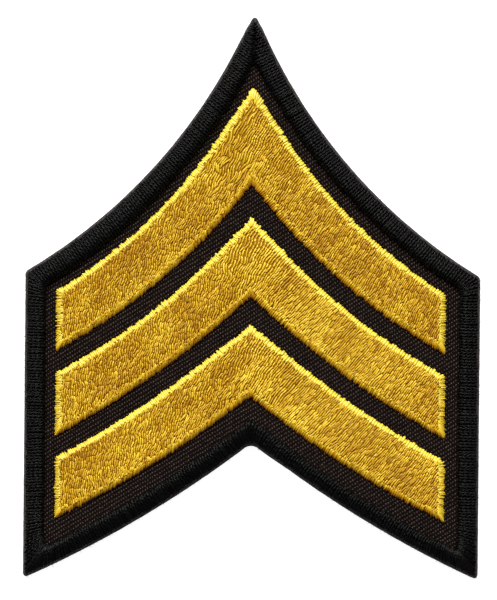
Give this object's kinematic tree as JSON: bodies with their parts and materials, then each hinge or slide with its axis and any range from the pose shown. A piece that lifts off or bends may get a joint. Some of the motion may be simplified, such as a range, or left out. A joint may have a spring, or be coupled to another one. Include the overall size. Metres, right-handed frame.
{
  "type": "rank chevron patch",
  "caption": "Embroidered rank patch: a black-bordered twill shield with a hollow-sided peak and two pointed feet, carrying stacked gold chevrons.",
  "frame": {"origin": "centre of the patch's bounding box, on its flat back face", "axes": "+Z out of the back through the embroidered face, +Y up the patch to its peak, +X to the wearer's-view right, square to the centre line"},
  "size_m": [0.0762, 0.0939, 0.0026],
  "materials": {
    "backing": "stiff pressed backing cloth, heat-cut at the edge, dull",
    "twill": "warm black cotton-blend twill with fine slanting ribs",
    "border_thread": "black embroidery thread in close satin stitches, soft sheen",
    "gold_satin": "bright gold embroidery thread in satin stitches, silky sheen",
    "gold_fill": "gold embroidery thread in staggered filling stitches, silky sheen"
  },
  "bodies": {
    "root": {"backing": "backing", "twill_ground": "twill", "edge_border": "border_thread", "chevron_outline_top": "gold_satin", "chevron_outline_middle": "gold_satin", "chevron_outline_bottom": "gold_satin", "chevron_fill_top": "gold_fill", "chevron_fill_middle": "gold_fill", "chevron_fill_bottom": "gold_fill"}
  },
  "joints": []
}
